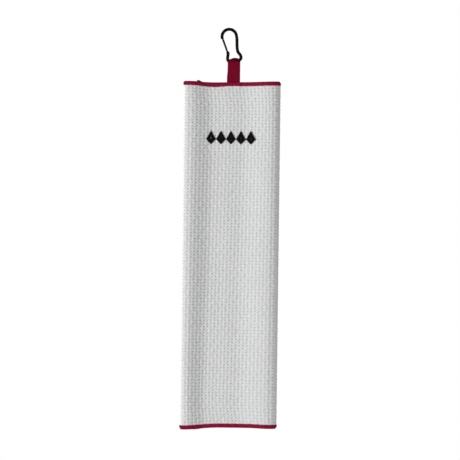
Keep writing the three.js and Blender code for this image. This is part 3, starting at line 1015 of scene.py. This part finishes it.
def sweep(bm, line, radii, flats, sides=20):
    """Extrudes a ring along a line in the XZ plane. radii are in the plane, flats front to back."""
    made = bmesh.ops.create_circle(bm, cap_ends=False, segments=sides, radius=1)
    ring = made["verts"]
    unit = [v.co.copy() for v in ring]
    rings = []
    for n, (point, radius, flat) in enumerate(zip(line, radii, flats)):
        ahead = line[min(n + 1, len(line) - 1)] - line[max(n - 1, 0)]
        ahead.normalize()
        side = ahead.cross(Vector((0, 1, 0)))
        if n:
            loop = [e for e in bm.edges if e.verts[0] in ring_set and e.verts[1] in ring_set]
            grown = bmesh.ops.extrude_edge_only(bm, edges=loop)["geom"]
            new = [g for g in grown if isinstance(g, bmesh.types.BMVert)]
            grown_from = {
                next(e.other_vert(v) for e in v.link_edges if e.other_vert(v) in ring_set): v
                for v in new
            }
            ring = [grown_from[v] for v in ring]
        for vert, place in zip(ring, unit):
            vert.co = point + side * place.x * radius + Vector((0, 1, 0)) * place.y * flat
        ring_set = set(ring)
        rings.append(ring)
    for end in (rings[0], rings[-1]):
        bmesh.ops.contextual_create(bm, geom=end)


def rounded_ends(line, radii, flats, end_radius, steps, first=True):
    """Adds shrinking rings at the ends, so that the rod closes in a dome."""
    line, radii, flats = list(line), list(radii), list(flats)
    for at_start in (True, False) if first else (False,):
        edge, inner = (line[0], line[1]) if at_start else (line[-1], line[-2])
        away = (edge - inner).normalized()
        radius, flat = (radii[0], flats[0]) if at_start else (radii[-1], flats[-1])
        for n in range(1, steps + 1):
            turn = n / steps * math.radians(86)
            new = edge + away * end_radius * math.sin(turn)
            ring = radius * math.cos(turn), flat * math.cos(turn)
            if at_start:
                line.insert(0, new), radii.insert(0, ring[0]), flats.insert(0, ring[1])
            else:
                line.append(new), radii.append(ring[0]), flats.append(ring[1])
    return line, radii, flats


def make_hook_rod():
    rod = sizes().rod / MM
    line = hook_line()
    heel = Vector((PIVOT_U, 0, PIVOT_V))
    flats = []
    for point in line:
        away = (point - heel).length
        on_left = point.x < 0 and point.z < PIVOT_V + 3
        share = float(smoothstep(2.2, 4.4, np.array(away))) if on_left and point.z > -29 else 1.0
        flats.append(0.9 + (rod - 0.9) * share)
    radii = [rod] * len(line)
    line, radii, flats = rounded_ends(line, radii, flats, 0.7, 4)
    bm = bmesh.new()
    sweep(bm, line, radii, flats)
    bmesh.ops.recalc_face_normals(bm, faces=bm.faces[:])
    bmesh.ops.transform(bm, matrix=hook_matrix() @ Matrix.Scale(MM, 4), verts=bm.verts[:])
    made = piece("hook_rod", bm, "black_anodised")
    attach(made, "hook")
    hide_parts("carabiner_body")


def gate_matrix():
    """From the gate's own frame, standing on its pivot in millimetres, to the row frame."""
    lean = math.asin((NOSE_U - PIVOT_U) / GATE_LENGTH)
    at = hook_matrix() @ Matrix.Translation(Vector((PIVOT_U, 0, PIVOT_V)) * MM)
    return at @ Matrix.Rotation(lean, 4, "Y") @ Matrix.Scale(MM, 4)


def make_gate():
    """The gate: a round bar on a fork whose two cheeks straddle the heel of the rod."""
    bar = sizes().gate_rod / MM
    bm = bmesh.new()
    heights = [4.9, 5.4, 6.2, 7.4, 9.0, 14.0, 19.5, 20.9]
    line = [Vector((0, 0, h)) for h in heights]
    radii = [1.4, 1.4, 1.4, 1.4, bar, bar, bar, bar]
    flats = [2.0, 2.0, 1.8, 1.6, bar, bar, bar, bar]
    line, radii, flats = rounded_ends(line, radii, flats, bar, 5, first=False)
    sweep(bm, line, radii, flats, 18)
    for hand in (-1, 1):
        make_cheek(bm, hand)
    bmesh.ops.recalc_face_normals(bm, faces=bm.faces[:])
    bmesh.ops.transform(bm, matrix=gate_matrix(), verts=bm.verts[:])
    made = piece("hook_gate", bm, "black_anodised")
    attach(made, "gate")
    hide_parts("carabiner_gate")


def make_cheek(bm, hand):
    """One cheek of the fork: a plate with a round boss, its edges eased."""
    boss, top, shoulder, half = 2.3, 5.6, 2.6, 1.25
    inner_face, outer_face = 1.25, 2.1
    turns = [math.radians(-35 + 250 * n / 20) for n in range(21)]
    outline = [(half, top), (half, shoulder)]
    outline += [(boss * math.cos(a), -boss * math.sin(a)) for a in turns]
    outline += [(-half, shoulder), (-half, top)]
    corners = [bmesh.ops.create_vert(bm, co=(u, 0, v))["vert"][0] for u, v in outline]
    face = bmesh.ops.contextual_create(bm, geom=corners)["faces"][0]
    grown = bmesh.ops.extrude_face_region(bm, geom=[face])["geom"]
    outer = [g for g in grown if isinstance(g, bmesh.types.BMVert)]
    bmesh.ops.translate(bm, verts=corners, vec=(0, hand * inner_face, 0))
    bmesh.ops.translate(bm, verts=outer, vec=(0, hand * outer_face, 0))
    rim = [e for e in bm.edges if e.verts[0] in outer and e.verts[1] in outer]
    bmesh.ops.bevel(
        bm,
        geom=rim,
        offset=0.35,
        offset_type="OFFSET",
        segments=3,
        profile=0.5,
        affect="EDGES",
        material=-1,
    )


def make_rivet():
    """A headed rivet through the fork and the heel."""
    shank, head, face = 0.7, 1.25, 2.1
    bm = bmesh.new()
    outline = [(0, 2.75), (0.6, 2.68), (1.0, 2.5), (head, 2.22), (head, face), (shank, face)]
    profile = outline + [(r, -y) for r, y in reversed(outline)]
    verts = [bm.verts.new((r, y, 0)) for r, y in profile]
    path = [bm.edges.new(pair) for pair in zip(verts, verts[1:])]
    bmesh.ops.spin(
        bm,
        geom=verts + path,
        cent=(0, 0, 0),
        axis=(0, 1, 0),
        angle=math.tau,
        steps=28,
        use_merge=True,
        use_duplicate=False,
    )
    bmesh.ops.remove_doubles(bm, verts=bm.verts[:], dist=1e-4)
    bmesh.ops.recalc_face_normals(bm, faces=bm.faces[:])
    bmesh.ops.transform(bm, matrix=gate_matrix(), verts=bm.verts[:])
    made = piece("hook_rivet", bm, "black_anodised")
    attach(made, "hook")
    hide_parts("gate_rivet")


# ---- Stage ----

VIEW_WIDTH = 675.3 * MM  # what the camera takes in across, at the towel
CAMERA_DISTANCE = 3.2
CAMERA_ROLL = math.radians(-0.72)
CAMERA_AIM = Vector((4.63 * MM, 0, -292.5 * MM))
LIGHT_AIM = Vector((0, 0, -0.33))
LIGHTS = (  # name, place, size in metres, watts
    ("key", (-2.6, -1.05, -0.1), 0.7, 68),
    ("fill", (1.6, -2.2, -0.3), 1.2, 9),
    ("back", (0.9, 2.2, 0.4), 1.0, 20),
)
SURROUND = 0.315  # strength of the even light from all sides
FLOOR_RADIUS, FLOOR_THICKNESS, FLOOR_DROP = 1.9, 0.02, 0.32


def make_camera():
    data = bpy.data.cameras.new("camera")
    data.sensor_width = 36.0
    data.lens = data.sensor_width * CAMERA_DISTANCE / VIEW_WIDTH
    data.clip_end = 50.0
    camera = bpy.data.objects.new("camera", data)
    camera.location = CAMERA_AIM + Vector((0, -CAMERA_DISTANCE, 0))
    camera.rotation_euler = (math.pi / 2, CAMERA_ROLL, 0)
    bpy.context.scene.collection.objects.link(camera)
    bpy.context.scene.camera = camera


def make_light(name, place, size, watts):
    data = bpy.data.lights.new(name, "AREA")
    data.shape, data.size, data.energy = "DISK", size, watts
    light = bpy.data.objects.new(name, data)
    light.location = place
    aim = LIGHT_AIM - Vector(place)
    light.rotation_euler = aim.to_track_quat("-Z", "Y").to_euler()
    bpy.context.scene.collection.objects.link(light)


def make_world():
    """A soft even surround, which the camera itself sees as clean white."""
    world = bpy.data.worlds.new("studio")
    bpy.context.scene.world = world
    world.use_nodes = True
    nodes, links = world.node_tree.nodes, world.node_tree.links
    nodes.clear()
    lit = nodes.new("ShaderNodeBackground")
    lit.inputs["Color"].default_value = (1, 1, 1, 1)
    lit.inputs["Strength"].default_value = SURROUND
    seen = nodes.new("ShaderNodeBackground")
    seen.inputs["Color"].default_value = (1, 1, 1, 1)
    path = nodes.new("ShaderNodeLightPath")
    mix = nodes.new("ShaderNodeMixShader")
    out = nodes.new("ShaderNodeOutputWorld")
    links.new(path.outputs["Is Camera Ray"], mix.inputs[0])
    links.new(lit.outputs[0], mix.inputs[1])
    links.new(seen.outputs[0], mix.inputs[2])
    links.new(mix.outputs[0], out.inputs["Surface"])


def make_floor():
    bm = bmesh.new()
    bmesh.ops.create_circle(bm, cap_ends=True, segments=96, radius=FLOOR_RADIUS)
    grown = bmesh.ops.extrude_face_region(bm, geom=bm.faces[:])["geom"]
    lower = [g for g in grown if isinstance(g, bmesh.types.BMVert)]
    bmesh.ops.translate(bm, verts=lower, vec=(0, 0, -FLOOR_THICKNESS))
    bmesh.ops.recalc_face_normals(bm, faces=bm.faces[:])
    bmesh.ops.translate(bm, verts=bm.verts[:], vec=(0, 0.1, BOTTOM_Z - FLOOR_DROP))
    mesh = bpy.data.meshes.new("floor")
    bm.to_mesh(mesh)
    bm.free()
    floor = bpy.data.objects.new("floor", mesh)
    floor.data.materials.append(material("studio_floor"))
    bpy.context.scene.collection.objects.link(floor)


# ---- Operators ----


class GolfTowelOperator:
    """What the operators share"""

    bl_options = {"REGISTER", "UNDO"}


class GOLFTOWEL_OT_stage(GolfTowelOperator, bpy.types.Operator):
    """Make the floor, the lights, the surround and the camera"""

    bl_idname = "golf_towel.stage"
    bl_label = "Stage"

    def execute(self, context):
        context.scene.view_settings.view_transform = "Standard"
        make_camera()
        make_world()
        for light in LIGHTS:
            make_light(*light)
        make_floor()
        return {"FINISHED"}


class GOLFTOWEL_OT_cloth(GolfTowelOperator, bpy.types.Operator):
    """Make the three layers of waffle cloth with their folds"""

    bl_idname = "golf_towel.cloth"
    bl_label = "Cloth"

    def execute(self, context):
        found = layers()
        make_cloth_layer(found["front"], ["front_panel"])
        make_cloth_layer(found["inner"], ["inner_flap", "left_fold"])
        make_cloth_layer(found["outer"], ["outer_flap", "right_fold"])
        return {"FINISHED"}


class GOLFTOWEL_OT_tape(GolfTowelOperator, bpy.types.Operator):
    """Make the binding tapes"""

    bl_idname = "golf_towel.tape"
    bl_label = "Binding tape"

    def execute(self, context):
        found = layers()
        for kind in ("top", "bottom"):
            edges = [e for e in edges_of(found["front"]) if e.kind == kind]
            make_tape(f"tape_front_{kind}", edges, [f"front_{kind}_binding"])
        for name, fold in (("inner", "left_fold"), ("outer", "right_fold")):
            replaced = [f"{name}_flap_edge_binding"]
            for end in ("top", "bottom"):
                replaced += [f"{name}_flap_{end}_binding", f"{fold}_{end}_binding"]
            make_tape(f"tape_{name}", edges_of(found[name]), replaced)
        return {"FINISHED"}


class GOLFTOWEL_OT_stitches(GolfTowelOperator, bpy.types.Operator):
    """Make the stitches that hold the binding"""

    bl_idname = "golf_towel.stitches"
    bl_label = "Stitches"

    def execute(self, context):
        for name, layer in layers().items():
            make_stitches(f"stitches_{name}", edges_of(layer))
        return {"FINISHED"}


class GOLFTOWEL_OT_webbing(GolfTowelOperator, bpy.types.Operator):
    """Make the webbing loop"""

    bl_idname = "golf_towel.webbing"
    bl_label = "Webbing"

    def execute(self, context):
        make_webbing()
        return {"FINISHED"}


class GOLFTOWEL_OT_emblem(GolfTowelOperator, bpy.types.Operator):
    """Make the embroidered band of diamonds"""

    bl_idname = "golf_towel.emblem"
    bl_label = "Embroidery"

    def execute(self, context):
        make_emblem()
        return {"FINISHED"}


class GOLFTOWEL_OT_hook(GolfTowelOperator, bpy.types.Operator):
    """Make the snap hook: rod, gate, rivet and spring"""

    bl_idname = "golf_towel.hook"
    bl_label = "Snap hook"

    def execute(self, context):
        make_hook_rod()
        make_gate()
        make_rivet()
        spring = frame["nodes"]["gate_spring"]
        spring.data.materials.clear()
        spring.data.materials.append(material("bright_steel"))
        return {"FINISHED"}


class GOLFTOWEL_OT_declare(GolfTowelOperator, bpy.types.Operator):
    """Say what the layers of cloth are: one flat cut, in three parts"""
    # """Gather the names of each layer's tapes and stitches, and make nothing of them"""

    bl_idname = "golf_towel.declare"
    bl_label = "Declare the cloth"

    def execute(self, context):
        for name, layer in layers().items():
            hems = ["tape_front_top", "tape_front_bottom"] if name == "front" else [f"tape_{name}"]
            hems + [f"stitches_{name}"]
        return {"FINISHED"}


class GOLFTOWEL_PT_panel(bpy.types.Panel):
    """The golf towel's panel in the sidebar"""

    bl_idname = "GOLFTOWEL_PT_panel"
    bl_label = "Golf towel"
    bl_space_type = "VIEW_3D"
    bl_region_type = "UI"
    bl_category = "Golf towel"

    def draw(self, context):
        for operator in OPERATORS:
            self.layout.operator(operator.bl_idname)
        for group in (context.scene.golf_towel_sizes, context.scene.golf_towel_colours):
            for name in group.bl_rna.properties.keys():
                if name not in ("rna_type", "name"):
                    self.layout.prop(group, name)


OPERATORS = (
    GOLFTOWEL_OT_stage,
    GOLFTOWEL_OT_hook,
    GOLFTOWEL_OT_webbing,
    GOLFTOWEL_OT_cloth,
    GOLFTOWEL_OT_tape,
    GOLFTOWEL_OT_stitches,
    GOLFTOWEL_OT_emblem,
    GOLFTOWEL_OT_declare,
)
CLASSES = (GolfTowelSizes, GolfTowelColours, *OPERATORS, GOLFTOWEL_PT_panel)


def register():
    for cls in CLASSES:
        bpy.utils.register_class(cls)
    bpy.types.Scene.golf_towel_sizes = bpy.props.PointerProperty(type=GolfTowelSizes)
    bpy.types.Scene.golf_towel_colours = bpy.props.PointerProperty(type=GolfTowelColours)


def unregister():
    del bpy.types.Scene.golf_towel_colours
    del bpy.types.Scene.golf_towel_sizes
    for cls in reversed(CLASSES):
        bpy.utils.unregister_class(cls)


def main():
    register()
    bpy.ops.golf_towel.stage()
    bpy.ops.golf_towel.hook()
    bpy.ops.golf_towel.webbing()
    bpy.ops.golf_towel.cloth()
    bpy.ops.golf_towel.tape()
    bpy.ops.golf_towel.stitches()
    bpy.ops.golf_towel.emblem()
    bpy.ops.golf_towel.declare()


if __name__ == "__main__":
    main()
